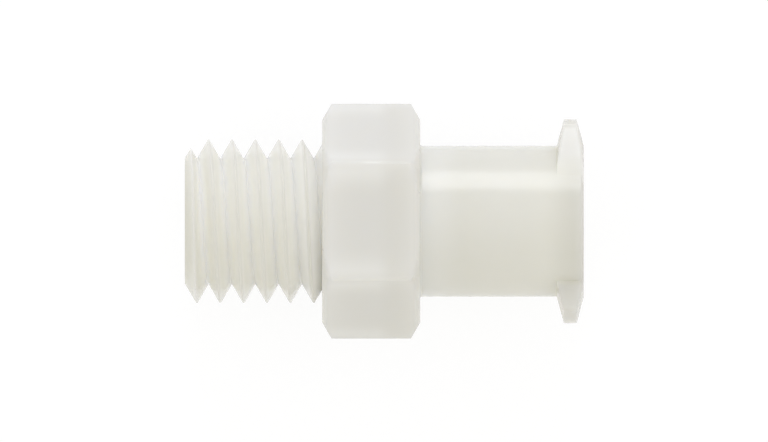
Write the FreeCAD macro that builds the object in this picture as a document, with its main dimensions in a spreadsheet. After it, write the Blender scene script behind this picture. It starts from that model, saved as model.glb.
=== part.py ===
import FreeCAD, Part
import Sketcher
import math
import os

# Female luer fitting, moulded in one piece
# The fitting has a 1/4-28 UNF male thread, a 5/16 inch hex and a plain barrel, all on one axis.
# The barrel ends in two locking lugs. It holds the tapered luer socket, and a bore runs on from
# there through the thread.
# The axis is X and points to the luer mouth. The fitting lies on a flat of its hex, with +Z up.
# The origin is on the axis, on the face of the hex where the thread begins.
# Lengths are in millimetres and angles in degrees.

SIZES = [
    ("thread_major", 6.35, "outer diameter of the 1/4-28 UNF thread"),
    ("thread_pitch", 0.9071, "28 turns to the inch"),
    ("thread_length", 5.334, "from the end face to the hex, with no relief"),
    ("thread_flank", 30, "slope of each flank, half of the 60 degree form"),
    ("crest_flat", 0.045, "width of the thread's crest"),
    ("root_flat", 0.035, "width of the thread's root"),
    ("first_crest", 0.019, "from the end face to the crest on the +Y side"),
    ("point_diameter", 4.88, "what the end chamfer leaves of the end face"),
    ("point_slope", 30, "slope of the end chamfer from the end face"),
    ("hex_flats", 7.9375, "across the flats, 5/16 inch"),
    ("hex_thickness", 3.81, "along the axis"),
    ("hex_edge_radius", 0.1, "round on the six long edges"),
    ("hex_slope", 30, "slope of both corner chamfers from the faces"),
    ("hex_face_inset", 0.04, "from the flats in to the circle where a chamfer starts"),
    ("barrel_diameter", 5.86, "plain barrel"),
    ("barrel_length", 6.35, "from the hex to the mouth"),
    ("mouth_edge_radius", 0.12, "round on the outer edge of the mouth"),
    ("lug_span", 7.92, "across the two lugs"),
    ("lug_crest", 0.5, "width of a lug at its crest"),
    ("lug_flank", 15, "slope of a lug's two flanks"),
    ("lug_stop", 1.8, "from the axis to the flat stop side of a lug"),
    ("lug_ramp", 60, "turn from the lug's middle to the square of its ramp side"),
    ("lug_ramp_sink", 0.03, "how far below the barrel's surface the ramp runs out"),
    ("socket_mouth", 4.3, "diameter of the luer taper at the mouth"),
    ("socket_taper", 0.06, "loss of diameter for each millimetre of depth"),
    ("socket_depth", 7.9, "from the mouth to the shoulder"),
    ("socket_lead_in", 0.15, "chamfer on the inner edge of the mouth"),
    ("bore_diameter", 2.4, "fluid bore from the shoulder to the thread's end"),
]

ROUGH = 1e-6


def write_sheet(document):
    """Puts the driving sizes in a sheet, one to a row, each under its own alias."""
    sheet = document.addObject("Spreadsheet::Sheet", "Sizes")
    for row, (alias, value, note) in enumerate(SIZES, start=1):
        sheet.set(f"A{row}", alias)
        sheet.set(f"B{row}", str(value))
        sheet.set(f"C{row}", note)
        sheet.setAlias(f"B{row}", alias)
    document.recompute()
    return sheet


def origin_feature(body, role):
    """Finds one of the body's own planes or axes by its role."""
    return next(item for item in body.Origin.OriginFeatures if item.Role == role)


def new_sketch(body, name, plane, offset=None):
    """Starts a sketch on one of the body's planes, moved along the plane's normal by offset."""
    sketch = body.newObject("Sketcher::SketchObject", name)
    sketch.AttachmentSupport = [(origin_feature(body, plane), "")]
    sketch.MapMode = "FlatFace"
    if offset:
        sketch.setExpression("AttachmentOffset.Base.z", offset)
    body.Document.recompute()
    return sketch


def value_of(sketch, expression):
    """Works out an expression over the sheet as a plain number."""
    return float(sketch.evalExpression(expression))


def bind(sketch, constraint, expression):
    """Adds a constraint with a size and ties the size to the sheet."""
    index = sketch.addConstraint(constraint)
    sketch.setExpression(f"Constraints[{index}]", expression)


def place_point(sketch, geometry, end, x, y):
    """Holds one end of a line or arc at x and y, two expressions measured from the sketch's origin."""
    if x == "0":
        sketch.addConstraint(Sketcher.Constraint("PointOnObject", geometry, end, -2))
    else:
        value = value_of(sketch, x)
        bind(sketch, Sketcher.Constraint("DistanceX", -1, 1, geometry, end, value), x)
    if y == "0":
        sketch.addConstraint(Sketcher.Constraint("PointOnObject", geometry, end, -1))
    else:
        value = value_of(sketch, y)
        bind(sketch, Sketcher.Constraint("DistanceY", -1, 1, geometry, end, value), y)


def add_outline(sketch, corners):
    """Draws a closed outline of straight lines. Each corner is a pair of expressions."""
    points = [FreeCAD.Vector(value_of(sketch, x), value_of(sketch, y), 0) for x, y in corners]
    first = sketch.GeometryCount
    count = len(points)
    for index, point in enumerate(points):
        sketch.addGeometry(Part.LineSegment(point, points[(index + 1) % count]), False)
    for index, (x, y) in enumerate(corners):
        line = first + index
        before = first + (index - 1) % count
        sketch.addConstraint(Sketcher.Constraint("Coincident", before, 2, line, 1))
        place_point(sketch, line, 1, x, y)


def add_circle(sketch, radius):
    """Draws a circle about the sketch's origin. Its radius is an expression."""
    value = value_of(sketch, radius)
    centre = FreeCAD.Vector(0, 0, 0)
    circle = sketch.addGeometry(Part.Circle(centre, FreeCAD.Vector(0, 0, 1), value), False)
    sketch.addConstraint(Sketcher.Constraint("Coincident", circle, 3, -1, 1))
    bind(sketch, Sketcher.Constraint("Radius", circle, value), radius)


def new_feature(body, kind, name):
    """Starts a feature. Faces that line up are merged until the thread is cut, and then left alone."""
    feature = body.newObject(f"PartDesign::{kind}", name)
    feature.Refine = body.Document.getObject("ThreadGroove") is None
    return feature


def turn_profile(body, kind, name, sketch):
    """Turns a sketch on the XY plane once round the X axis, as a Revolution or a Groove."""
    feature = new_feature(body, kind, name)
    feature.Profile = sketch
    feature.ReferenceAxis = (sketch, ["H_Axis"])
    feature.Angle = 360
    body.Document.recompute()
    return feature


def extrude(body, kind, name, sketch, length, reverse=False):
    """Pads or pockets a sketch by length, an expression."""
    feature = new_feature(body, kind, name)
    feature.Profile = sketch
    feature.Reversed = reverse
    feature.setExpression("Length", length)
    body.Document.recompute()
    return feature


def round_edges(body, name, edges, radius):
    """Rounds the named edges of the body's latest feature."""
    fillet = new_feature(body, "Fillet", name)
    fillet.Base = (fillet.BaseFeature, edges)
    fillet.setExpression("Radius", radius)
    body.Document.recompute()
    return fillet


def edge_names(shape, wanted):
    """Names the edges of a shape that wanted picks."""
    return [f"Edge{number}" for number, edge in enumerate(shape.Edges, start=1) if wanted(edge)]


def axis_distance(point):
    """How far a point lies from the fitting's axis."""
    return math.hypot(point.y, point.z)


def make_barrel(body, sheet):
    """A plain round barrel, which starts inside the hex and has a small round on its outer edge."""
    outline = new_sketch(body, "BarrelSketch", "YZ_Plane")
    add_circle(outline, "Sizes.barrel_diameter / 2")
    length = "Sizes.hex_thickness + Sizes.barrel_length"
    barrel = extrude(body, "Pad", "Barrel", outline, length)

    mouth = sheet.hex_thickness + sheet.barrel_length

    def is_mouth_edge(edge):
        return all(abs(vertex.X - mouth) < ROUGH for vertex in edge.Vertexes)

    edges = edge_names(barrel.Shape, is_mouth_edge)
    return round_edges(body, "MouthEdge", edges, "Sizes.mouth_edge_radius")


def make_lugs(body):
    """Two locking lugs at the mouth, half a turn apart, each with a stop side and a ramp side.

    Seen along the axis, a lug has its crest on an arc, its stop side square to Z, and a ramp side
    that runs down to the barrel almost as a tangent. Its outline is closed through the axis, deep
    inside the barrel.
    """
    outline = new_sketch(body, "LugSketch", "YZ_Plane", "Sizes.hex_thickness + Sizes.barrel_length")
    crest = "Sizes.lug_span / 2"
    foot = "(Sizes.barrel_diameter / 2 - Sizes.lug_ramp_sink)"
    stop = "-Sizes.lug_stop"
    ramp_turn = math.radians(value_of(outline, "Sizes.lug_ramp"))
    crest_radius = value_of(outline, crest)
    foot_radius = value_of(outline, foot)
    stop_turn = math.asin(value_of(outline, stop) / crest_radius)
    top_turn = ramp_turn - math.acos(foot_radius / crest_radius)

    def at(radius, turn):
        return FreeCAD.Vector(radius * math.cos(turn), radius * math.sin(turn), 0)

    axis = FreeCAD.Vector(0, 0, 0)
    normal = FreeCAD.Vector(0, 0, 1)
    stop_top = at(crest_radius, stop_turn)
    stop_foot = FreeCAD.Vector(0, stop_top.y, 0)
    ramp_top = at(crest_radius, top_turn)
    ramp_foot = at(foot_radius, ramp_turn)
    circle = Part.Circle(axis, normal, crest_radius)
    arc = outline.addGeometry(Part.ArcOfCircle(circle, stop_turn, top_turn), False)
    ramp = outline.addGeometry(Part.LineSegment(ramp_top, ramp_foot), False)
    spoke = outline.addGeometry(Part.LineSegment(ramp_foot, axis), False)
    back = outline.addGeometry(Part.LineSegment(axis, stop_foot), False)
    side = outline.addGeometry(Part.LineSegment(stop_foot, stop_top), False)

    outline.addConstraint(
        [
            Sketcher.Constraint("Coincident", arc, 3, -1, 1),
            Sketcher.Constraint("Coincident", arc, 2, ramp, 1),
            Sketcher.Constraint("Coincident", ramp, 2, spoke, 1),
            Sketcher.Constraint("Coincident", spoke, 2, -1, 1),
            Sketcher.Constraint("Coincident", back, 1, -1, 1),
            Sketcher.Constraint("Coincident", back, 2, side, 1),
            Sketcher.Constraint("Coincident", side, 2, arc, 1),
            Sketcher.Constraint("Vertical", back),
            Sketcher.Constraint("Horizontal", side),
            Sketcher.Constraint("Perpendicular", ramp, spoke),
        ]
    )
    bind(outline, Sketcher.Constraint("Radius", arc, crest_radius), crest)
    bind(outline, Sketcher.Constraint("Distance", spoke, foot_radius), foot)
    bind(outline, Sketcher.Constraint("DistanceY", -1, 1, side, 1, stop_foot.y), stop)
    turned = Sketcher.Constraint("Angle", -1, 1, spoke, 2, ramp_turn)
    bind(outline, turned, "Sizes.lug_ramp * 1 deg")

    rise = "(Sizes.lug_span - Sizes.barrel_diameter) / 2"
    base = f"(Sizes.lug_crest + 2 * {rise} * tan(Sizes.lug_flank))"
    lug = extrude(body, "Pad", "Lug", outline, base, reverse=True)

    pair = new_feature(body, "PolarPattern", "LugPair")
    pair.Originals = [lug]
    pair.Axis = (origin_feature(body, "X_Axis"), [""])
    pair.Angle = 360
    pair.Occurrences = 2
    body.Tip = pair
    body.Document.recompute()

    # The flanks are two cones that leave the barrel at the edges of the lug's base
    profile = new_sketch(body, "LugFlankSketch", "XY_Plane")
    mouth = "(Sizes.hex_thickness + Sizes.barrel_length)"
    surface = "Sizes.barrel_diameter / 2"
    clear = "Sizes.lug_span / 2 + Sizes.lug_crest"
    run = f"({rise} + Sizes.lug_crest) * tan(Sizes.lug_flank)"
    add_outline(
        profile,
        [
            (mouth, surface),
            (f"{mouth} + {run}", clear),
            (f"{mouth} - {run}", clear),
        ],
    )
    add_outline(
        profile,
        [
            (f"{mouth} - {base}", surface),
            (f"{mouth} - {base} + {run}", clear),
            (f"{mouth} - {base} - {run}", clear),
        ],
    )
    return turn_profile(body, "Groove", "LugFlanks", profile)


def make_thread(body):
    """A chamfered shank with one helical V groove, which leaves a right-hand thread.

    The shank runs on into the hex, and so does the groove, so that the thread meets the hex's face
    with no relief. The hex then fills what lies inside it.
    """
    blank = new_sketch(body, "ShankSketch", "XY_Plane")
    chamfer = "(Sizes.thread_major - Sizes.point_diameter) / 2 * tan(Sizes.point_slope)"
    buried_end = "Sizes.first_crest + 2.25 * Sizes.thread_pitch"
    add_outline(
        blank,
        [
            ("-Sizes.thread_length", "0"),
            (buried_end, "0"),
            (buried_end, "Sizes.thread_major / 2"),
            (f"{chamfer} - Sizes.thread_length", "Sizes.thread_major / 2"),
            ("-Sizes.thread_length", "Sizes.point_diameter / 2"),
        ],
    )
    turn_profile(body, "Revolution", "Shank", blank)

    # The groove starts outside the end face and ends inside the hex, far enough for its last full
    # turn to pass the hex's face, and short of the shank's buried end
    # Its mouth widens on past the crest, as far as half of the crest's flat allows
    groove = new_sketch(body, "GrooveSketch", "XY_Plane")
    middle = "(Sizes.first_crest - Sizes.thread_length - 1.5 * Sizes.thread_pitch)"
    half_crest = "(Sizes.thread_pitch - Sizes.crest_flat) / 2"
    half_root = "Sizes.root_flat / 2"
    half_mouth = "(Sizes.thread_pitch / 2 - Sizes.crest_flat / 4)"
    depth = f"({half_crest} - {half_root}) / tan(Sizes.thread_flank)"
    root = f"Sizes.thread_major / 2 - {depth}"
    mouth = "Sizes.thread_major / 2 + Sizes.crest_flat / 4 / tan(Sizes.thread_flank)"
    top = "Sizes.thread_major / 2 + Sizes.thread_pitch / 4"
    add_outline(
        groove,
        [
            (f"{middle} - {half_root}", root),
            (f"{middle} + {half_root}", root),
            (f"{middle} + {half_mouth}", mouth),
            (f"{middle} + {half_mouth}", top),
            (f"{middle} - {half_mouth}", top),
            (f"{middle} - {half_mouth}", mouth),
        ],
    )
    helix = new_feature(body, "SubtractiveHelix", "ThreadGroove")
    helix.Profile = groove
    helix.ReferenceAxis = (groove, ["H_Axis"])
    helix.Mode = "pitch-height-angle"
    helix.Angle = 0
    helix.LeftHanded = False
    helix.setExpression("Pitch", "Sizes.thread_pitch")
    helix.setExpression("Height", "Sizes.thread_length + 3 * Sizes.thread_pitch")
    body.Document.recompute()
    return helix


def make_hex(body, sheet):
    """A hexagonal grip with corners at +Y and -Y, rounded long edges and both faces chamfered."""
    outline = new_sketch(body, "HexSketch", "YZ_Plane")
    corner = "Sizes.hex_flats / 2 / cos(30)"
    flat = "Sizes.hex_flats / 2"
    add_outline(
        outline,
        [
            (corner, "0"),
            (f"{corner} / 2", flat),
            (f"-{corner} / 2", flat),
            (f"-{corner}", "0"),
            (f"-{corner} / 2", f"-{flat}"),
            (f"{corner} / 2", f"-{flat}"),
        ],
    )
    grip = extrude(body, "Pad", "Hex", outline, "Sizes.hex_thickness")

    corner_radius = sheet.hex_flats / 2 / math.cos(math.radians(30))

    def is_long_edge(edge):
        start, end = edge.firstVertex().Point, edge.lastVertex().Point
        along_axis = math.hypot(end.y - start.y, end.z - start.z) < ROUGH
        return along_axis and abs(axis_distance(start) - corner_radius) < ROUGH

    round_edges(body, "HexEdges", edge_names(grip.Shape, is_long_edge), "Sizes.hex_edge_radius")

    # Each chamfer is a cone that starts just inside the flats and runs out past the corners
    profile = new_sketch(body, "HexChamferSketch", "XY_Plane")
    start = "(Sizes.hex_flats / 2 - Sizes.hex_face_inset)"
    reach = "(Sizes.hex_flats / 2 / cos(30) + Sizes.hex_face_inset)"
    run = f"({reach} - {start}) * tan(Sizes.hex_slope)"
    add_outline(profile, [("0", start), (run, reach), (f"-{run}", reach)])
    add_outline(
        profile,
        [
            ("Sizes.hex_thickness", start),
            (f"Sizes.hex_thickness + {run}", reach),
            (f"Sizes.hex_thickness - {run}", reach),
        ],
    )
    return turn_profile(body, "Groove", "HexChamfers", profile)


def make_passage(body):
    """The tapered socket, open at the mouth, and the fluid bore from there to the thread's end."""
    taper = new_sketch(body, "SocketSketch", "XY_Plane")
    mouth = "(Sizes.hex_thickness + Sizes.barrel_length)"
    lead_in = "Sizes.socket_lead_in"
    add_outline(
        taper,
        [
            (f"{mouth} - Sizes.socket_depth", "0"),
            (mouth, "0"),
            (mouth, f"Sizes.socket_mouth / 2 + {lead_in}"),
            (f"{mouth} - {lead_in}", f"(Sizes.socket_mouth - Sizes.socket_taper * {lead_in}) / 2"),
            (
                f"{mouth} - Sizes.socket_depth",
                "(Sizes.socket_mouth - Sizes.socket_taper * Sizes.socket_depth) / 2",
            ),
        ],
    )
    turn_profile(body, "Groove", "Socket", taper)

    circle = new_sketch(body, "BoreSketch", "YZ_Plane", "-Sizes.thread_length")
    add_circle(circle, "Sizes.bore_diameter / 2")
    whole = "Sizes.thread_length + Sizes.hex_thickness + Sizes.barrel_length"
    return extrude(body, "Pocket", "Bore", circle, whole, reverse=True)


def check_model(document, body):
    """Stops the run if a feature failed, a cut took nothing away or the body isn't one solid."""
    for item in document.Objects:
        if "Invalid" in item.State or "Error" in item.State:
            raise RuntimeError(f"{item.Name} failed: {item.State}")
    for name in ("ThreadGroove", "HexChamfers", "LugFlanks", "Socket", "Bore"):
        cut = document.getObject(name)
        if cut.Shape.Volume > cut.BaseFeature.Shape.Volume - ROUGH:
            raise RuntimeError(f"{name} takes nothing away")
    shape = body.Shape
    if shape.isNull() or not shape.isValid() or len(shape.Solids) != 1:
        raise RuntimeError(f"{body.Label} is not one sound solid")


def main():
    document = FreeCAD.newDocument("LuerFitting")
    sheet = write_sheet(document)
    body = document.addObject("PartDesign::Body", "Fitting")
    body.Label = "luer_fitting"
    make_barrel(body, sheet)
    make_lugs(body)
    make_thread(body)
    make_hex(body, sheet)
    make_passage(body)
    document.recompute()
    check_model(document, body)

    os.makedirs("parts", exist_ok=True)
    body.Shape.exportStep(f"parts/{body.Label}.step")
    box = body.Shape.BoundBox
    print(f"{body.Label}: {box.XLength:.3f} x {box.YLength:.3f} x {box.ZLength:.3f} mm")
    print(f"volume {body.Shape.Volume:.2f} cubic mm")


main()
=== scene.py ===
# %% [markdown]
# # A female luer fitting, moulded in natural nylon
#
# The real thing is a small adapter, 15.5 mm long. One end screws into a port, the other takes a syringe tip,
# and a hexagon between them gives a spanner its grip. It is moulded in one shot, so it is one piece here too.
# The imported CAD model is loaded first, because every length in this lesson is measured from the same frame:
# the origin is on the axis at the hexagon's thread side, X runs towards the luer mouth, and Z is up.

# %% Load the frame and keep its box
import math

import bmesh
import bpy
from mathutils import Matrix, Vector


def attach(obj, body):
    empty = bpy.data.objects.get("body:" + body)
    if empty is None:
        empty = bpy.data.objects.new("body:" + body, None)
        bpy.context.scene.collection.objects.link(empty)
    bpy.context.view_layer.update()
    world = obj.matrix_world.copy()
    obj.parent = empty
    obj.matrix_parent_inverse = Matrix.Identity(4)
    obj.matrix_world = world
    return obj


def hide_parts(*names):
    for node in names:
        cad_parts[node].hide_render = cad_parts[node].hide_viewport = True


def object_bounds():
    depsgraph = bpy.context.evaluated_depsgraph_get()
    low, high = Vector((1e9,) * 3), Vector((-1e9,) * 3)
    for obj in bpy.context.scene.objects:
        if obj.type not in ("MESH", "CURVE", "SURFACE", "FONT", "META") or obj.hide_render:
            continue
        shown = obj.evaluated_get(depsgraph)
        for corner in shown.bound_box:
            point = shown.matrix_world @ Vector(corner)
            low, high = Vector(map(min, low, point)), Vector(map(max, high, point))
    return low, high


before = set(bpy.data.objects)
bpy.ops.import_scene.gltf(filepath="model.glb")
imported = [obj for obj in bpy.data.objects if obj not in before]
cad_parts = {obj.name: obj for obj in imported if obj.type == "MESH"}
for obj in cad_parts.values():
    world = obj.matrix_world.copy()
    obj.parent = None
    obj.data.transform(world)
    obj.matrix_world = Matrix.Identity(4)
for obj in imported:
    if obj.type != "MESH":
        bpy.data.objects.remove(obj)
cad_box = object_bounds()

MM = 0.001  # Blender works in metres, and this part is drawn in millimetres
print("CAD box in mm:", [[round(v / MM, 3) for v in corner] for corner in cad_box])

# %% [markdown]
# ## The camera
#
# The picture looks straight down on the fitting as it lies on a flat of its hexagon. It is taken with a long
# lens from so far off that it shows hardly any perspective: both ends of the part look square. An orthographic
# camera gives that, and it needs no more than the width of the picture and its centre.

# %% Camera
PICTURE_WIDTH = 29.82 * MM
PICTURE_CENTRE = (2.402 * MM, 0.008 * MM)
CAMERA_HEIGHT = 0.2

bpy.ops.object.select_all(action="DESELECT")
bpy.ops.object.camera_add(location=(*PICTURE_CENTRE, CAMERA_HEIGHT), rotation=(0, 0, 0))
camera = bpy.context.object
camera.name = "camera_above"
camera.data.type = "ORTHO"
camera.data.ortho_scale = PICTURE_WIDTH
camera.data.clip_start, camera.data.clip_end = 0.01, 10
bpy.context.scene.camera = camera
print(f"the camera hangs {CAMERA_HEIGHT / MM:.0f} mm up and sees {PICTURE_WIDTH / MM:.2f} mm across")

# %% [markdown]
# ## The floor
#
# The fitting lies on a plain white sheet. A flat plane would do, but it has to look white to the camera
# without throwing extra light on the part. So the camera, and any glossy or clear surface, sees a mix of a
# glowing white and a real matt white, which still takes the soft shadow. All other rays meet the matt white.

# %% Floor
PAPER_WHITE = (0.88, 0.88, 0.88, 1)
GLOW, GLOW_SHARE = 1.08, 0.8  # together with the matt white's share they come out as white


def sees_background(nodes, links):
    """1 for a ray from the camera or from a glossy or clear surface, and 0 for the rays that carry light."""
    path = nodes.new("ShaderNodeLightPath")
    seen = path.outputs["Is Camera Ray"]
    for ray in ("Is Glossy Ray", "Is Transmission Ray"):
        either = nodes.new("ShaderNodeMath")
        either.operation = "MAXIMUM"
        links.new(seen, either.inputs[0])
        links.new(path.outputs[ray], either.inputs[1])
        seen = either.outputs["Value"]
    return seen


bpy.ops.object.select_all(action="DESELECT")
floor_height = cad_box[0].z
bpy.ops.mesh.primitive_plane_add(size=4, location=(0, 0, floor_height))
floor = bpy.context.object
floor.name = "paper_floor"
bpy.ops.object.transform_apply(location=True, rotation=True, scale=True)

paper = bpy.data.materials.new("white_paper")
paper.use_nodes = True
nodes, links = paper.node_tree.nodes, paper.node_tree.links
nodes.clear()
paper_output = nodes.new("ShaderNodeOutputMaterial")
matt = nodes.new("ShaderNodeBsdfDiffuse")
matt.inputs["Color"].default_value = PAPER_WHITE
glow = nodes.new("ShaderNodeEmission")
glow.inputs["Color"].default_value = (1, 1, 1, 1)
glow.inputs["Strength"].default_value = GLOW
seen_mix = nodes.new("ShaderNodeMixShader")
seen_mix.inputs["Fac"].default_value = GLOW_SHARE
ray_mix = nodes.new("ShaderNodeMixShader")
links.new(matt.outputs[0], seen_mix.inputs[1])
links.new(glow.outputs[0], seen_mix.inputs[2])
links.new(sees_background(nodes, links), ray_mix.inputs["Fac"])
links.new(matt.outputs[0], ray_mix.inputs[1])
links.new(seen_mix.outputs[0], ray_mix.inputs[2])
links.new(ray_mix.outputs[0], paper_output.inputs["Surface"])
floor.data.materials.append(paper)
print(f"the floor lies {floor_height / MM:.3f} mm from the axis, under the hexagon's flat")

# %% [markdown]
# ## The light
#
# The picture's light is soft and comes from all round, so the world gives it: a little dimmer at the horizon
# than overhead, warmer from the bottom of the picture and cooler from its top. The background that the camera
# sees is a plain white, as the floor is.

# %% World
HORIZON_LEVEL, ZENITH_LEVEL = 0.77, 0.885
WARM_SIDE, COOL_SIDE = (1.02, 1.0, 0.915, 1), (0.92, 0.92, 0.985, 1)

world = bpy.data.worlds.new("studio")
bpy.context.scene.world = world
world.use_nodes = True
nodes, links = world.node_tree.nodes, world.node_tree.links
nodes.clear()
world_output = nodes.new("ShaderNodeOutputWorld")
direction = nodes.new("ShaderNodeTexCoord")
split = nodes.new("ShaderNodeSeparateXYZ")
links.new(direction.outputs["Generated"], split.inputs["Vector"])
level = nodes.new("ShaderNodeMapRange")  # dimmer at the horizon, brighter overhead
level.inputs["From Min"].default_value, level.inputs["From Max"].default_value = 0, 1
level.inputs["To Min"].default_value, level.inputs["To Max"].default_value = HORIZON_LEVEL, ZENITH_LEVEL
side = nodes.new("ShaderNodeMapRange")  # from the bottom of the picture to its top
side.inputs["From Min"].default_value, side.inputs["From Max"].default_value = -1, 1
tint = nodes.new("ShaderNodeMix")
tint.data_type = "RGBA"
tint.inputs["A"].default_value, tint.inputs["B"].default_value = WARM_SIDE, COOL_SIDE
links.new(split.outputs["Z"], level.inputs["Value"])
links.new(split.outputs["Y"], side.inputs["Value"])
links.new(side.outputs["Result"], tint.inputs["Factor"])
fill_light = nodes.new("ShaderNodeBackground")
links.new(tint.outputs["Result"], fill_light.inputs["Color"])
links.new(level.outputs["Result"], fill_light.inputs["Strength"])
seen_white = nodes.new("ShaderNodeBackground")
seen_white.inputs["Strength"].default_value = 1
seen_white.inputs["Color"].default_value = (1, 1, 1, 1)
world_mix = nodes.new("ShaderNodeMixShader")
links.new(sees_background(nodes, links), world_mix.inputs["Fac"])
links.new(fill_light.outputs[0], world_mix.inputs[1])
links.new(seen_white.outputs[0], world_mix.inputs[2])
links.new(world_mix.outputs[0], world_output.inputs["Surface"])
print(f"the world's light goes from {HORIZON_LEVEL} at the horizon to {ZENITH_LEVEL} overhead")

# %% [markdown]
# One softbox stands low over the top edge of the picture. It draws the long pale band on the barrel, whose
# place gives the softbox its angle. The view transform is Standard, so that a colour comes out as written.

# %% Softbox and view
SOFTBOX_ANGLE = math.radians(66)  # from straight up, towards the top of the picture
SOFTBOX_X, SOFTBOX_DISTANCE = 0.0024, 0.35
SOFTBOX_SIZE = (0.11, 0.2)
SOFTBOX_POWER = 0.22

bpy.ops.object.select_all(action="DESELECT")
bpy.ops.object.light_add(
    type="AREA",
    location=(
        SOFTBOX_X,
        SOFTBOX_DISTANCE * math.sin(SOFTBOX_ANGLE),
        SOFTBOX_DISTANCE * math.cos(SOFTBOX_ANGLE),
    ),
    rotation=(-SOFTBOX_ANGLE, 0, 0),
)
softbox = bpy.context.object
softbox.name = "softbox_top"
softbox.data.shape = "RECTANGLE"
softbox.data.size, softbox.data.size_y = SOFTBOX_SIZE
softbox.data.energy = SOFTBOX_POWER
softbox.data.color = (0.97, 0.985, 1.0)

bpy.context.scene.view_settings.view_transform = "Standard"
print("softbox at", [round(v, 3) for v in softbox.location], "m")

# %% [markdown]
# ## Drawn a thousand times too large
#
# Blender's tools merge points and clear slivers with tolerances made for things a metre long, and this part
# is 15 mm. So each shape is drawn with one Blender unit for each millimetre, and the finished solid is
# shrunk a thousand times. The numbers in the lesson are then plain millimetres.

# %% [markdown]
# ## Turned pieces
#
# Most of this fitting is round: the barrel, the chamfers and the hollow inside. On a lathe it would be turned,
# and the same shape comes from one ring of points that is extruded from station to station along the axis.
# A spin would do it too, but a ring shows each radius as it is reached, and it closes itself.

# %% A helper that turns a solid
STEPS = 192  # points round the axis, fine enough for a smooth outline in close-up
TOUCHING = 0.00001  # points closer than this are one point


def deselect_everything():
    if bpy.context.mode != "OBJECT":
        bpy.ops.object.mode_set(mode="OBJECT")
    bpy.ops.object.select_all(action="DESELECT")


def edit(piece):
    deselect_everything()
    piece.select_set(True)
    bpy.context.view_layer.objects.active = piece
    bpy.ops.object.mode_set(mode="EDIT")


def clean(piece):
    """Merges doubled points and turns every face outwards."""
    edit(piece)
    bpy.ops.mesh.select_all(action="SELECT")
    bpy.ops.mesh.remove_doubles(threshold=TOUCHING)
    bpy.ops.mesh.normals_make_consistent(inside=False)
    bpy.ops.object.mode_set(mode="OBJECT")


def turned(name, stations):
    """A closed solid of revolution about X. Each station is (place along X, radius) in millimetres."""
    deselect_everything()
    first_x, first_radius = stations[0]
    bpy.ops.mesh.primitive_circle_add(
        vertices=STEPS, radius=first_radius, fill_type="NGON",
        location=(first_x, 0, 0), rotation=(0, math.pi / 2, 0),
    )
    piece = bpy.context.object
    piece.name = name
    bpy.ops.object.transform_apply(location=True, rotation=True, scale=True)
    bpy.ops.object.mode_set(mode="EDIT")
    bpy.ops.mesh.select_all(action="SELECT")
    for (x0, r0), (x1, r1) in zip(stations, stations[1:]):
        bpy.ops.mesh.extrude_region_move(TRANSFORM_OT_translate={"value": ((x1 - x0), 0, 0)})
        bpy.ops.transform.resize(value=(1, r1 / r0, r1 / r0), center_override=(x1, 0, 0))
    clean(piece)
    return piece


def describe(piece):
    """Prints a piece's size and whether it is closed."""
    mesh = bmesh.new()
    mesh.from_mesh(piece.data)
    open_edges = sum(not e.is_manifold for e in mesh.edges)
    volume = mesh.calc_volume(signed=True)
    low = [min(v.co[i] for v in mesh.verts) for i in range(3)]
    high = [max(v.co[i] for v in mesh.verts) for i in range(3)]
    print(f"{piece.name}: {len(mesh.faces)} faces, {open_edges} open edges, {volume:.3f} mm3,"
          f" from {[round(v, 3) for v in low]} to {[round(v, 3) for v in high]}")
    mesh.free()


def arc(centre_x, centre_radius, radius, start, end, parts):
    """Stations along a rounding, from one angle in degrees to another."""
    angles = [math.radians(start + (end - start) * i / parts) for i in range(parts + 1)]
    return [(centre_x + radius * math.cos(a), centre_radius + radius * math.sin(a)) for a in angles]


# %% [markdown]
# ## The barrel
#
# The plain barrel carries the luer socket. Its mouth has a small round, which shows as a thin band at the
# right end, and where it leaves the hexagon the mould gives it a tiny fillet. Both are stations of the
# same turned solid. The barrel starts inside the hexagon, so that the two join without a seam.

# %% Barrel
BARREL_RADIUS = 2.93
MOUTH_X = 10.16
MOUTH_ROUND = 0.12
HEX_THICKNESS = 3.81
ROOT_FILLET = 0.08
ROOT_X = 3.2  # where the barrel starts, inside the hexagon
FACE_RING = 2.6  # radius of a ring on each flat end, just outside the hollow
TUCK = 0.02  # how far the fillet's foot is tucked under the hexagon's face
foot_radius = BARREL_RADIUS + ROOT_FILLET

barrel = turned("barrel", [
    (ROOT_X, FACE_RING),
    (ROOT_X, foot_radius + TUCK),
    (HEX_THICKNESS - TUCK, foot_radius + TUCK),
    *arc(HEX_THICKNESS - 0.003 + ROOT_FILLET, foot_radius, ROOT_FILLET, 180, 270, 5),
    *arc(MOUTH_X - MOUTH_ROUND, BARREL_RADIUS - MOUTH_ROUND, MOUTH_ROUND, 90, 0, 6),
    (MOUTH_X, FACE_RING),
])
describe(barrel)

# %% [markdown]
# ## The hexagon
#
# The grip is a hexagon 7.94 mm across its flats with softly rounded long edges, rounded rims and a turned
# chamfer that cuts its corners on both faces. A six-sided cylinder gives the flats, bevels give the rounds,
# and a turned disc that is kept only where it overlaps the hexagon gives the chamfer its curved edges.

# %% Hexagon
HEX_FLATS = 7.9375
HEX_EDGE_ROUND = 0.14
HEX_RIM_ROUND = 0.2
CHAMFER_FACE_RADIUS = 3.929
CHAMFER_RISE = math.tan(math.radians(60))  # radius gained for each millimetre in from the face
DISC_REACH, DISC_SHOULDER = 0.2, 0.45  # the disc goes past each face, and is full width this far in
ROUND_SEGMENTS = 4


def select_edges(piece, wanted):
    """Selects the edges for which wanted(edge) is true. The piece is in edit mode."""
    bpy.ops.mesh.select_mode(type="EDGE")
    bpy.ops.mesh.select_all(action="DESELECT")
    mesh = bmesh.from_edit_mesh(piece.data)
    found = 0
    for edge in mesh.edges:
        if wanted(edge):
            edge.select_set(True)
            found += 1
    mesh.select_flush_mode()
    bmesh.update_edit_mesh(piece.data)
    return found


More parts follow.
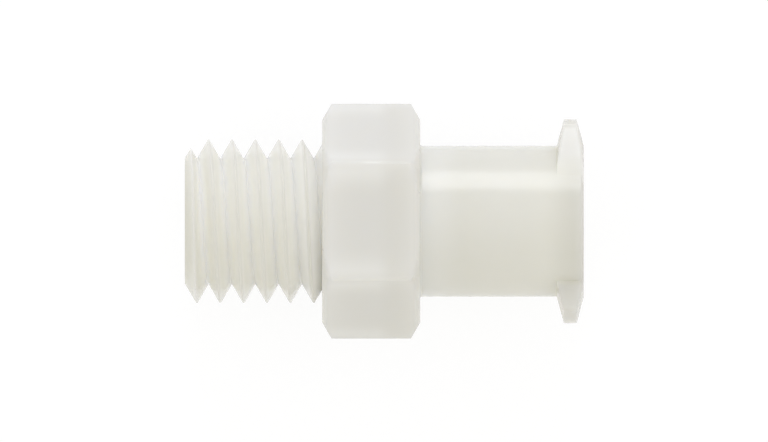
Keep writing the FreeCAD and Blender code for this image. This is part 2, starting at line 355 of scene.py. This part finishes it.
def combine(piece, other, operation):
    """Joins, cuts or keeps the overlap of two closed solids, and removes the second."""
    modifier = piece.modifiers.new(operation.lower(), "BOOLEAN")
    modifier.object = other
    modifier.operation = operation
    modifier.solver = "MANIFOLD"
    deselect_everything()
    piece.select_set(True)
    bpy.context.view_layer.objects.active = piece
    bpy.ops.object.modifier_apply(modifier=modifier.name)
    bpy.data.objects.remove(other)


deselect_everything()
bpy.ops.mesh.primitive_cylinder_add(
    vertices=6, radius=HEX_FLATS / 2 / math.cos(math.pi / 6), depth=HEX_THICKNESS,
    location=(HEX_THICKNESS / 2, 0, 0), rotation=(0, math.pi / 2, 0),
)
hexagon = bpy.context.object
hexagon.name = "hexagon"
bpy.ops.object.transform_apply(location=True, rotation=True, scale=True)
edit(hexagon)
long_edges = select_edges(hexagon, lambda e: abs(e.verts[0].co.x - e.verts[1].co.x) > 1)
bpy.ops.mesh.bevel(
    offset=HEX_EDGE_ROUND * math.tan(math.pi / 6), segments=ROUND_SEGMENTS, affect="EDGES", clamp_overlap=False,
)
rim_edges = select_edges(hexagon, lambda e: abs(e.verts[0].co.x - e.verts[1].co.x) < 0.001)
bpy.ops.mesh.bevel(offset=HEX_RIM_ROUND, segments=ROUND_SEGMENTS, affect="EDGES", clamp_overlap=False)
print("rounded", long_edges, "long edges and", rim_edges, "rim edges")
clean(hexagon)


def chamfer_radius(depth):
    return CHAMFER_FACE_RADIUS + depth * CHAMFER_RISE


chamfer_disc = turned("chamfer_disc", [
    (-DISC_REACH, chamfer_radius(-DISC_REACH)),
    (DISC_SHOULDER, chamfer_radius(DISC_SHOULDER)),
    (HEX_THICKNESS - DISC_SHOULDER, chamfer_radius(DISC_SHOULDER)),
    (HEX_THICKNESS + DISC_REACH, chamfer_radius(-DISC_REACH)),
])
combine(hexagon, chamfer_disc, "INTERSECT")
describe(hexagon)

# %% [markdown]
# ## The thread
#
# The thread is a right-hand 60 degree V with six turns, 0.907 mm apart. Rings would be easier, but a real
# screw climbs. So one pitch of the profile is drawn as a line of points, its corners are rounded as a mould
# leaves them, and the Screw modifier sweeps it round and along the axis. The ends are then cut flat and closed.

# %% Thread
PITCH = 0.9071
CREST_RADIUS = 3.175
CREST_FLAT = 0.045
ROOT_FLAT = 0.035
THREAD_LENGTH = 5.334
FIRST_CREST = -THREAD_LENGTH + 0.019  # along X, on the side of +Y
THREAD_ROUND = 0.014
THREAD_ROOTED_TO = 0.35  # the thread ends this far inside the hexagon
root_radius = CREST_RADIUS - (PITCH - CREST_FLAT - ROOT_FLAT) / 2 / math.tan(math.radians(30))

sweep_start = FIRST_CREST - 2 * PITCH  # two turns too many, which are cut off
sweep_turns = 9
profile = [
    (sweep_start, CREST_RADIUS),
    (sweep_start + CREST_FLAT / 2, CREST_RADIUS),
    (sweep_start + PITCH / 2 - ROOT_FLAT / 2, root_radius),
    (sweep_start + PITCH / 2 + ROOT_FLAT / 2, root_radius),
    (sweep_start + PITCH - CREST_FLAT / 2, CREST_RADIUS),
    (sweep_start + PITCH, CREST_RADIUS),
]

deselect_everything()
bpy.ops.mesh.primitive_plane_add(size=1, location=(profile[0][0], profile[0][1], 0))
thread = bpy.context.object
thread.name = "thread"
bpy.ops.object.transform_apply(location=True, rotation=True, scale=True)
edit(thread)
bpy.ops.mesh.select_mode(type="VERT")
bpy.ops.mesh.select_all(action="SELECT")
bpy.ops.mesh.merge(type="CENTER")
for (x0, r0), (x1, r1) in zip(profile, profile[1:]):
    bpy.ops.mesh.extrude_vertices_move(TRANSFORM_OT_translate={"value": ((x1 - x0), (r1 - r0), 0)})
bpy.ops.mesh.select_all(action="DESELECT")
points = bmesh.from_edit_mesh(thread.data)
for v in points.verts:
    v.select_set(len(v.link_edges) == 2)
bmesh.update_edit_mesh(thread.data)
bpy.ops.mesh.bevel(offset=THREAD_ROUND, segments=3, affect="VERTICES", clamp_overlap=False)
bpy.ops.object.mode_set(mode="OBJECT")

sweep = thread.modifiers.new("sweep", "SCREW")
sweep.axis = "X"
sweep.angle = 2 * math.pi
sweep.steps = sweep.render_steps = STEPS
sweep.screw_offset = PITCH
sweep.iterations = sweep_turns
bpy.ops.object.modifier_apply(modifier=sweep.name)
clean(thread)


def cut_flat(piece, place, outward):
    """Cuts a solid along a plane, clears what lies on its outer side and closes the cut."""
    edit(piece)
    bpy.ops.mesh.select_all(action="SELECT")
    bpy.ops.mesh.bisect(
        plane_co=[v for v in place], plane_no=outward, clear_outer=True, use_fill=True, threshold=TOUCHING,
    )
    bpy.ops.object.mode_set(mode="OBJECT")


cut_flat(thread, (-THREAD_LENGTH, 0, 0), (-1, 0, 0))
cut_flat(thread, (THREAD_ROOTED_TO, 0, 0), (1, 0, 0))
clean(thread)
describe(thread)

# %% [markdown]
# The first turn is chamfered, so that it finds its way into a port. A turned blank with that slope, wider than
# the thread everywhere else, is kept only where it overlaps the thread.

# %% Lead chamfer of the thread
POINT_RADIUS = 2.44
LEAD_SLOPE = math.tan(math.radians(60))
LEAD_BEFORE, LEAD_AFTER = 0.3, 0.7  # how far the sloping part reaches to each side of the thread's end
BLANK_END = 0.8

lead_blank = turned("lead_blank", [
    (-THREAD_LENGTH - LEAD_BEFORE, POINT_RADIUS - LEAD_BEFORE * LEAD_SLOPE),
    (-THREAD_LENGTH + LEAD_AFTER, POINT_RADIUS + LEAD_AFTER * LEAD_SLOPE),
    (BLANK_END, POINT_RADIUS + LEAD_AFTER * LEAD_SLOPE),
])
combine(thread, lead_blank, "INTERSECT")
describe(thread)

# %% [markdown]
# ## The lugs
#
# Two lugs stand on the barrel's rim and catch the collar of a syringe. Each is a slice of a ring with sloping
# flanks: one end is cut square as a stop, and the other runs out in a flat ramp that meets the barrel. One is
# modelled from a turned ring with three plane cuts, its edges are softened, and a copy is turned half round.

# %% Lugs
LUG_RADIUS = 3.96
LUG_CREST = (9.384, 9.884)
LUG_FLANK = math.tan(math.radians(15))
LUG_STOP = 1.8
LUG_ROUND = 0.07
LUG_SETBACK = 0.004  # keeps the lug's end off the mouth's own face
RAMP_ANGLE = math.radians(60)  # of the ramp's normal, from the lug's middle
RAMP_DEPTH = BARREL_RADIUS - 0.03

lug = turned("lug", [
    (MOUTH_X - LUG_SETBACK, FACE_RING),
    (MOUTH_X - LUG_SETBACK, BARREL_RADIUS + LUG_SETBACK / LUG_FLANK),
    (LUG_CREST[1], LUG_RADIUS),
    (LUG_CREST[0], LUG_RADIUS),
    (LUG_CREST[0] - (LUG_RADIUS - FACE_RING) * LUG_FLANK, FACE_RING),
])
ramp_normal = (0, math.cos(RAMP_ANGLE), math.sin(RAMP_ANGLE))
cut_flat(lug, (0, 0, -LUG_STOP), (0, 0, -1))
cut_flat(lug, [v * RAMP_DEPTH for v in ramp_normal], ramp_normal)
cut_flat(lug, (0, 0, 0), (0, -math.sin(RAMP_ANGLE), math.cos(RAMP_ANGLE)))
clean(lug)

soften = lug.modifiers.new("soften", "BEVEL")
soften.width = LUG_ROUND
soften.segments = 3
soften.limit_method = "ANGLE"
soften.angle_limit = math.radians(25)
soften.use_clamp_overlap = True
deselect_everything()
lug.select_set(True)
bpy.context.view_layer.objects.active = lug
bpy.ops.object.modifier_apply(modifier=soften.name)
describe(lug)

bpy.ops.object.duplicate()
lug_far = bpy.context.object
lug_far.name = "lug_far"
bpy.ops.object.mode_set(mode="EDIT")
bpy.ops.mesh.select_all(action="SELECT")
bpy.ops.transform.rotate(value=math.pi, orient_axis="X", center_override=(0, 0, 0))
bpy.ops.object.mode_set(mode="OBJECT")
describe(lug_far)

# %% [markdown]
# ## One solid
#
# The four shapes are joined into one closed solid. Then the mould's core pin is taken out of it, which leaves
# the socket with its 6 per cent taper, a small lead-in at the mouth, the shoulder and the narrow fluid bore.

# %% Join and core
SOCKET_TAPER = 0.06  # of the diameter, over the length
SHOULDER_X = 2.26
LEAD_IN_X, LEAD_IN_RADIUS = 10.01, 2.1455
LEAD_IN_SLOPE = 0.1545 / 0.15
BORE_RADIUS = 1.2
PIN_REACH = (0.5, 0.2)  # the pin goes past both ends

fitting = hexagon
combine(fitting, barrel, "UNION")
combine(fitting, lug, "UNION")
combine(fitting, lug_far, "UNION")
combine(fitting, thread, "UNION")
describe(fitting)

pin_end = MOUTH_X + PIN_REACH[1]
core_pin = turned("core_pin", [
    (-THREAD_LENGTH - PIN_REACH[0], BORE_RADIUS),
    (SHOULDER_X, BORE_RADIUS),
    (SHOULDER_X, LEAD_IN_RADIUS - SOCKET_TAPER / 2 * (LEAD_IN_X - SHOULDER_X)),
    (LEAD_IN_X, LEAD_IN_RADIUS),
    (pin_end, LEAD_IN_RADIUS + (pin_end - LEAD_IN_X) * LEAD_IN_SLOPE),
])
combine(fitting, core_pin, "DIFFERENCE")
fitting.name = "nylon_fitting"
fitting.data.name = "nylon_fitting"
describe(fitting)

# %% [markdown]
# ## Slivers
#
# Where two joined surfaces almost meet, the solver leaves points and faces thinner than a hair. They don't show
# in the shape, but they spoil the shading. So points closer than half a thousandth of a millimetre are merged,
# which is far below anything that a mould makes, and the solid has to stay closed. Points that only split an
# edge in two are dissolved as well, because two faces that meet there could be cut into doubled triangles.

# %% Clear the slivers that the joins left
SLIVER = 0.0005

edit(fitting)
bpy.ops.mesh.select_all(action="SELECT")
bpy.ops.mesh.remove_doubles(threshold=SLIVER)
bpy.ops.mesh.dissolve_degenerate(threshold=SLIVER)
bpy.ops.mesh.select_mode(type="VERT")
bpy.ops.mesh.select_all(action="DESELECT")
points = bmesh.from_edit_mesh(fitting.data)
splitting = [v for v in points.verts if len(v.link_edges) == 2]
for v in splitting:
    v.select_set(True)
bmesh.update_edit_mesh(fitting.data)
print(len(splitting), "points only split an edge")
bpy.ops.mesh.dissolve_verts()
bpy.ops.mesh.select_all(action="SELECT")
bpy.ops.mesh.normals_make_consistent(inside=False)
bpy.ops.object.mode_set(mode="OBJECT")
describe(fitting)

# %% [markdown]
# ## Real size and shading
#
# The solid is shrunk to metres. Its round faces are shaded smoothly and its real corners stay sharp, apart from
# the edges of the hexagon's chamfers: those are soft on the moulded part, so their sharp mark is cleared and
# the shade turns over them gently. Normals weighed by the faces' areas keep the flats even up to the rounds.

# %% Shrink it to metres and shade it
SMOOTH_UP_TO = math.radians(28)

fitting.scale = (MM, MM, MM)
bpy.ops.object.transform_apply(location=True, rotation=True, scale=True)
bpy.ops.object.shade_smooth_by_angle(angle=SMOOTH_UP_TO)
edit(fitting)
chamfer_edges = select_edges(fitting, lambda e: (
    not e.smooth
    and min(math.hypot(v.co.y, v.co.z) for v in e.verts) > 3.3 * MM
    and max(v.co.x for v in e.verts) < (HEX_THICKNESS + 0.01) * MM
    and max(abs(f.normal.x) for f in e.link_faces) < 0.95
))
bpy.ops.mesh.mark_sharp(clear=True)
bpy.ops.object.mode_set(mode="OBJECT")
weigh = fitting.modifiers.new("even_flats", "WEIGHTED_NORMAL")
weigh.keep_sharp = True
bpy.ops.object.modifier_apply(modifier=weigh.name)
print(chamfer_edges, "edges of the chamfers shaded softly")

# %% [markdown]
# ## Moulded nylon's surface, as a node group
#
# Uncoloured nylon isn't one flat ivory. It has faint clouds where it cooled at different speeds, and fine draw
# lines along the axis, which the part gets as it slides out of its mould. Both the moulded outside and the
# hollow left by the core pin have them, in different strength, so they are built once as a node group.

# %% The node group and its sockets
def add_socket(group, name, direction, kind, value=None):
    socket = group.interface.new_socket(name=name, in_out=direction, socket_type=kind)
    if value is not None:
        socket.default_value = value
    return socket


moulded = bpy.data.node_groups.new("moulded_nylon_surface", "ShaderNodeTree")
add_socket(moulded, "Cloud Size", "INPUT", "NodeSocketFloat", 2.5)
add_socket(moulded, "Line Spacing", "INPUT", "NodeSocketFloat", 0.25)
add_socket(moulded, "Line Share", "INPUT", "NodeSocketFloat", 0.5)
add_socket(moulded, "Cloud", "OUTPUT", "NodeSocketFloat")
add_socket(moulded, "Gloss", "OUTPUT", "NodeSocketFloat")
add_socket(moulded, "Height", "OUTPUT", "NodeSocketFloat")
add_socket(moulded, "Millimetres", "OUTPUT", "NodeSocketVector")
nodes, links = moulded.nodes, moulded.links
asked, given = nodes.new("NodeGroupInput"), nodes.new("NodeGroupOutput")
place = nodes.new("ShaderNodeTexCoord")
to_mm = nodes.new("ShaderNodeVectorMath")
to_mm.operation = "SCALE"
to_mm.inputs["Scale"].default_value = 1 / MM
links.new(place.outputs["Object"], to_mm.inputs[0])
links.new(to_mm.outputs["Vector"], given.inputs["Millimetres"])
print("the group puts out", [s.name for s in moulded.interface.items_tree if s.in_out == "OUTPUT"])

# %% [markdown]
# The clouds are a soft noise. A noise's scale is how many patches fit in a millimetre, so the size that is
# asked for is turned into a scale by dividing one by it. That division serves the draw lines too.

# %% Clouds
def one_over(size):
    divide = nodes.new("ShaderNodeMath")
    divide.operation = "DIVIDE"
    divide.inputs[0].default_value = 1
    links.new(size, divide.inputs[1])
    return divide.outputs["Value"]


def noise(vector, detail, scale):
    """A noise texture. The scale is a socket or a number."""
    texture = nodes.new("ShaderNodeTexNoise")
    texture.inputs["Detail"].default_value = detail
    links.new(vector, texture.inputs["Vector"])
    if isinstance(scale, float):
        texture.inputs["Scale"].default_value = scale
    else:
        links.new(scale, texture.inputs["Scale"])
    return texture


cloud = noise(to_mm.outputs["Vector"], 3, one_over(asked.outputs["Cloud Size"]))
cloud.inputs["Roughness"].default_value = 0.55
links.new(cloud.outputs["Fac"], given.inputs["Cloud"])
print("clouds added:", len(nodes), "nodes")

# %% [markdown]
# The draw lines are the same kind of noise, pulled out to ten times its length along the axis. The relief mixes
# them with the very slight waviness that any moulded surface has.

# %% Draw lines and waviness
LINE_PULL = 0.1
WAVES_PER_MM = 1.4

stretch = nodes.new("ShaderNodeVectorMath")
stretch.operation = "MULTIPLY"
stretch.inputs[1].default_value = (LINE_PULL, 1, 1)
links.new(to_mm.outputs["Vector"], stretch.inputs[0])
lines = noise(stretch.outputs["Vector"], 2, one_over(asked.outputs["Line Spacing"]))
waviness = noise(to_mm.outputs["Vector"], 1, WAVES_PER_MM)
relief = nodes.new("ShaderNodeMix")
links.new(asked.outputs["Line Share"], relief.inputs["Factor"])
links.new(waviness.outputs["Fac"], relief.inputs["A"])
links.new(lines.outputs["Fac"], relief.inputs["B"])
links.new(relief.outputs["Result"], given.inputs["Height"])
links.new(lines.outputs["Fac"], given.inputs["Gloss"])
print("node group with", len(nodes), "nodes")

# %% [markdown]
# ## Natural nylon
#
# Light goes more than a millimetre into nylon and comes out again, so its edges look soft and its shadows pale:
# that is subsurface scattering. Clear transmission would show the hollow as through a window, and uncoloured
# nylon doesn't. Its gloss and its very fine relief come from the node group.

# %% What both nylon materials share
SCATTER_DEPTH = 1.6  # millimetres
RELIEF_DEPTH = 0.01  # millimetres


def nylon_material(name, cloud_size, line_spacing, line_share, gloss_range, relief_strength):
    """A nylon material without its colour. Returns it with its nodes, its links and the placed node group."""
    material = bpy.data.materials.new(name)
    material.use_nodes = True
    nodes, links = material.node_tree.nodes, material.node_tree.links
    shader = nodes["Principled BSDF"]
    shader.inputs["IOR"].default_value = 1.53
    shader.inputs["Subsurface Weight"].default_value = 1.0
    shader.inputs["Subsurface Radius"].default_value = (1.0, 0.97, 0.9)
    shader.inputs["Subsurface Scale"].default_value = SCATTER_DEPTH * MM
    surface = nodes.new("ShaderNodeGroup")
    surface.node_tree = moulded
    surface.inputs["Cloud Size"].default_value = cloud_size
    surface.inputs["Line Spacing"].default_value = line_spacing
    surface.inputs["Line Share"].default_value = line_share
    gloss = nodes.new("ShaderNodeMapRange")
    gloss.inputs["From Min"].default_value, gloss.inputs["From Max"].default_value = 0.3, 0.7
    gloss.inputs["To Min"].default_value, gloss.inputs["To Max"].default_value = gloss_range
    links.new(surface.outputs["Gloss"], gloss.inputs["Value"])
    links.new(gloss.outputs["Result"], shader.inputs["Roughness"])
    bump = nodes.new("ShaderNodeBump")
    bump.inputs["Strength"].default_value = relief_strength
    bump.inputs["Distance"].default_value = RELIEF_DEPTH * MM
    links.new(surface.outputs["Height"], bump.inputs["Height"])
    links.new(bump.outputs["Normal"], shader.inputs["Normal"])
    return material, nodes, links, surface


# %% [markdown]
# ## Masks by place, for painted light and shade
#
# On the real part the thin places pass more light than the shader can follow, so that light and shade are
# painted into the colour here, with masks. Each place is found by how far along the axis and how far away from
# it a point lies, which holds from every side.
# Three helpers mix two colours, turn a value into a soft step from 0 to 1, and put two values together.

# %% Helpers for masks
def mix_colours(nodes, links, factor, first, second):
    """A colour mix. Each colour is a socket or four numbers."""
    mix = nodes.new("ShaderNodeMix")
    mix.data_type = "RGBA"
    links.new(factor, mix.inputs["Factor"])
    for socket, colour in (("A", first), ("B", second)):
        if isinstance(colour, tuple):
            mix.inputs[socket].default_value = colour
        else:
            links.new(colour, mix.inputs[socket])
    return mix.outputs["Result"]


def ramp(nodes, links, value, low, high, out_low=0.0, out_high=1.0):
    """A clamped smooth step of a value."""
    step = nodes.new("ShaderNodeMapRange")
    step.interpolation_type = "SMOOTHSTEP"
    for name, number in zip(("From Min", "From Max", "To Min", "To Max"), (low, high, out_low, out_high)):
        step.inputs[name].default_value = number
    links.new(value, step.inputs["Value"])
    return step.outputs["Result"]


def combined(nodes, links, operation, first, second):
    """Two values added, multiplied and so on. Each is a socket or a number."""
    sum_up = nodes.new("ShaderNodeMath")
    sum_up.operation = operation
    for socket, value in zip(sum_up.inputs, (first, second)):
        if isinstance(value, (int, float)):
            socket.default_value = value
        else:
            links.new(value, socket)
    return sum_up.outputs["Value"]


# %% [markdown]
# ## Outside: the base
#
# The outside is two close ivories in faint clouds, with the gloss of a moulded surface. The place along the
# axis and the distance from it are worked out here, once, for all the painted light and shade that follow.

# %% The outside's base colour
CLOUD_IVORIES = (0.835, 0.83, 0.765, 1), (0.805, 0.795, 0.715, 1)

nylon, nodes, links, surface = nylon_material(
    "natural_nylon", cloud_size=2.5, line_spacing=0.22, line_share=0.6, gloss_range=(0.2, 0.26),
    relief_strength=0.3,
)
axes = nodes.new("ShaderNodeSeparateXYZ")
links.new(surface.outputs["Millimetres"], axes.inputs["Vector"])
across = nodes.new("ShaderNodeCombineXYZ")
links.new(axes.outputs["Y"], across.inputs["Y"])
links.new(axes.outputs["Z"], across.inputs["Z"])
length = nodes.new("ShaderNodeVectorMath")
length.operation = "LENGTH"
links.new(across.outputs["Vector"], length.inputs[0])
along, radius = axes.outputs["X"], length.outputs["Value"]
colour = mix_colours(nodes, links, surface.outputs["Cloud"], *CLOUD_IVORIES)
print("outside base with", len(nodes), "nodes")

# %% [markdown]
# ### Painted light beside the hexagon
#
# The barrel and the last turns of the thread look almost white where they meet the hexagon, because light from
# its wide faces shines into them. That light is painted into the colour, by a mask that fades out from each
# face of the hexagon.

# %% Painted light in the corners next to the hexagon
PAINTED_LIGHT_IVORY = (0.985, 0.975, 0.905, 1)
PAINTED_LIGHT_ON_THREAD, PAINTED_LIGHT_ON_BARREL = 1.6, 1.8  # how far it reaches

left_side = combined(
    nodes, links, "MULTIPLY",
    ramp(nodes, links, along, -PAINTED_LIGHT_ON_THREAD, -0.2),
    ramp(nodes, links, along, 0.03, 0.01),
)
right_side = combined(
    nodes, links, "MULTIPLY",
    ramp(nodes, links, along, HEX_THICKNESS - 0.03, HEX_THICKNESS - 0.01),
    ramp(nodes, links, along, HEX_THICKNESS + PAINTED_LIGHT_ON_BARREL, HEX_THICKNESS - 0.1, 0, 0.8),
)
beside = combined(nodes, links, "MULTIPLY", combined(nodes, links, "ADD", left_side, right_side),
                  ramp(nodes, links, radius, 3.7, 3.3))
# painted light: the colour turns paler next to each face of the hexagon
colour = mix_colours(nodes, links, beside, colour, PAINTED_LIGHT_IVORY)
print(f"pale for {PAINTED_LIGHT_ON_THREAD} mm on the thread's side and {PAINTED_LIGHT_ON_BARREL} mm on the barrel's")

# %% [markdown]
# ### The thread
#
# The grooves pass more light than the ridges, so they are painted paler, and the crests are painted darker and
# yellower as shade. The distance from the axis says how deep in a groove a point is. Towards the thread's start
# and on the first turn, which its chamfer cuts away, the colour is painted darker and greyer as shade.

# %% Painted light and shade on the thread
CREST_PAINTED_SHADE = (0.645, 0.63, 0.56, 1)
START_PAINTED_SHADE = (0.72, 0.71, 0.63, 1)

on_thread = ramp(nodes, links, along, 0.0, -0.02)
painted_light_in_groove = combined(nodes, links, "MULTIPLY", on_thread, ramp(nodes, links, radius, 3.0, 2.5))
painted_shade_on_crest = combined(nodes, links, "MULTIPLY", on_thread, ramp(nodes, links, radius, 3.02, 3.21))
painted_shade_at_start = ramp(nodes, links, along, -3.6, -5.2)
painted_shade_at_lead = ramp(nodes, links, along, -4.75, -5.1)  # the chamfered first turn
# painted shade: darker and greyer towards the thread's start
colour = mix_colours(nodes, links, painted_shade_at_start, colour, START_PAINTED_SHADE)
# painted light: paler deep in the grooves
colour = mix_colours(nodes, links, painted_light_in_groove, colour, PAINTED_LIGHT_IVORY)
# painted shade again on the chamfered first turn
colour = mix_colours(nodes, links, painted_shade_at_lead, colour, START_PAINTED_SHADE)
# painted shade: darker and yellower along the crests
colour = mix_colours(nodes, links, painted_shade_on_crest, colour, CREST_PAINTED_SHADE)
print(f"grooves pale from radius {root_radius:.2f} mm, crests darker up to {CREST_RADIUS} mm")

# %% [markdown]
# ### Painted light and shade on the hexagon
#
# The grip is the thickest part, and the way light goes through it is painted in as a colder ivory, a little
# darker than the rest. Painted light makes it palest near the corners of its solid half, and painted shade
# makes it darker along its rims, right on its corner edges and over the socket, where there is less nylon under
# the surface.

# %% Painted light and shade on the hexagon
def distance_along(nodes, links, along, place):
    """How far a point lies from a place on the axis, to either side."""
    return combined(nodes, links, "ABSOLUTE", combined(nodes, links, "SUBTRACT", along, place), 0)


GRIP_PAINTED_SHADE = (0.79, 0.785, 0.75, 1)
SOLID_PAINTED_LIGHT = (0.83, 0.828, 0.795, 1)
EDGE_PAINTED_SHADE = (0.73, 0.72, 0.66, 1)

on_barrel = ramp(nodes, links, along, HEX_THICKNESS, HEX_THICKNESS + 0.02)
on_hexagon = combined(nodes, links, "MULTIPLY", ramp(nodes, links, radius, 3.2, 3.4),
                      combined(nodes, links, "SUBTRACT", 1, on_barrel))
from_middle = distance_along(nodes, links, along, HEX_THICKNESS / 2)
painted_shade_at_rim = combined(nodes, links, "MULTIPLY", on_hexagon, ramp(nodes, links, from_middle, 1.5, 1.9, 0, 0.7))
painted_shade_over_socket = combined(nodes, links, "MULTIPLY", on_hexagon, ramp(nodes, links, along, 2.0, 2.9, 0, 0.3))
painted_shade_at_corner = ramp(nodes, links, radius, 4.38, 4.56, 0, 0.35)
painted_light_solid_zone = combined(nodes, links, "MULTIPLY", ramp(nodes, links, radius, 4.08, 4.4),
                      ramp(nodes, links, along, 2.8, 2.1))
# painted shade: the whole grip colder and a little darker
colour = mix_colours(nodes, links, on_hexagon, colour, GRIP_PAINTED_SHADE)
# painted light: paler near the corners of the solid half
colour = mix_colours(nodes, links, painted_light_solid_zone, colour, SOLID_PAINTED_LIGHT)
# painted shade: darker at the rims, over the socket and on the corner edges
for mask in (painted_shade_at_rim, painted_shade_over_socket, painted_shade_at_corner):
    colour = mix_colours(nodes, links, mask, colour, EDGE_PAINTED_SHADE)
print(f"the rims' tint begins {HEX_THICKNESS / 2 - 1.5:.2f} mm in from each face")

# %% [markdown]
# ### Painted shade on the lugs and the mouth
#
# Towards the mouth the wall is thin and the hollow behind it is dark, so barrel and lugs are painted greyer
# there as shade. The lugs are painted darker as shade too, darkest at the stop, on the flanks and along the
# crest, where only a thin edge catches the light, and the rounding of the mouth gets the same dark shade.

# %% Painted shade on the lugs and the mouth
MOUTH_PAINTED_SHADE = (0.655, 0.65, 0.595, 1)
LUG_PAINTED_SHADE = (0.73, 0.725, 0.69, 1)
STOP_PAINTED_SHADE = (0.68, 0.675, 0.63, 1)
THIN_PAINTED_SHADE = (0.64, 0.63, 0.58, 1)

on_lug = combined(nodes, links, "MULTIPLY", on_barrel, ramp(nodes, links, radius, 2.95, 3.25))
stop_side = combined(nodes, links, "MULTIPLY", axes.outputs["Y"], axes.outputs["Z"])
painted_shade_near_stop = combined(nodes, links, "MULTIPLY", on_lug, ramp(nodes, links, stop_side, -1.0, -4.0))
from_crest = distance_along(nodes, links, along, sum(LUG_CREST) / 2)
flank = combined(nodes, links, "ADD", from_crest, combined(nodes, links, "MULTIPLY", radius, LUG_FLANK))
flank_place = (LUG_CREST[1] - LUG_CREST[0]) / 2 + LUG_RADIUS * LUG_FLANK
painted_shade_on_flank = combined(nodes, links, "MULTIPLY", on_lug,
                    ramp(nodes, links, flank, flank_place - 0.1, flank_place - 0.01))
painted_shade_on_lug_crest = combined(nodes, links, "MULTIPLY", on_barrel, ramp(nodes, links, radius, 3.78, 3.92))
painted_shade_to_mouth = combined(nodes, links, "MULTIPLY", on_barrel, ramp(nodes, links, along, 8.4, 10.4))
painted_shade_at_mouth = combined(nodes, links, "MULTIPLY", ramp(nodes, links, along, 9.98, 10.08),
                    ramp(nodes, links, radius, 2.79, 2.84))
# painted shade: greyer towards the mouth
colour = mix_colours(nodes, links, painted_shade_to_mouth, colour, MOUTH_PAINTED_SHADE)
# painted shade: the lugs darker, and darker still near the stop
colour = mix_colours(nodes, links, on_lug, colour, LUG_PAINTED_SHADE)
colour = mix_colours(nodes, links, painted_shade_near_stop, colour, STOP_PAINTED_SHADE)
# painted shade: darkest on the lugs' flanks and crests and on the mouth's rounding
for mask in (painted_shade_on_flank, painted_shade_on_lug_crest, painted_shade_at_mouth):
    colour = mix_colours(nodes, links, mask, colour, THIN_PAINTED_SHADE)
links.new(colour, nodes["Principled BSDF"].inputs["Base Color"])
fitting.data.materials.clear()
fitting.data.materials.append(nylon)
print("outside material with", len(nodes), "nodes")

# %% [markdown]
# ## Natural nylon, inside
#
# The socket and bore take their finish from the polished core pin: smoother and glossier, with finer draw
# lines. The faces are found by their place, near the axis and facing it, and get the second material.

# %% Inside material
CORED_IVORIES = (0.835, 0.83, 0.785, 1), (0.81, 0.8, 0.74, 1)
HOLLOW_RADIUS = 2.31

cored, nodes, links, surface = nylon_material(
    "natural_nylon_cored", cloud_size=3.5, line_spacing=0.12, line_share=0.9, gloss_range=(0.12, 0.2),
    relief_strength=0.2,
)
links.new(
    mix_colours(nodes, links, surface.outputs["Cloud"], *CORED_IVORIES),
    nodes["Principled BSDF"].inputs["Base Color"],
)
fitting.data.materials.append(cored)
edit(fitting)
bpy.ops.mesh.select_mode(type="FACE")
bpy.ops.mesh.select_all(action="DESELECT")
mesh = bmesh.from_edit_mesh(fitting.data)
inside = 0
for face in mesh.faces:
    centre = face.calc_center_median()
    outward = centre.y * face.normal.y + centre.z * face.normal.z
    if math.hypot(centre.y, centre.z) < HOLLOW_RADIUS * MM and outward < -1e-6 * MM:
        face.select_set(True)
        inside += 1
bmesh.update_edit_mesh(fitting.data)
fitting.active_material_index = 1
bpy.ops.object.material_slot_assign()
bpy.ops.object.mode_set(mode="OBJECT")
print(inside, "faces inside the socket and bore")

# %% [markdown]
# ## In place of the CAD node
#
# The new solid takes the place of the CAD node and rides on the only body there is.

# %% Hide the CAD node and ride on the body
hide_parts("luer_fitting")
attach(fitting, "root")
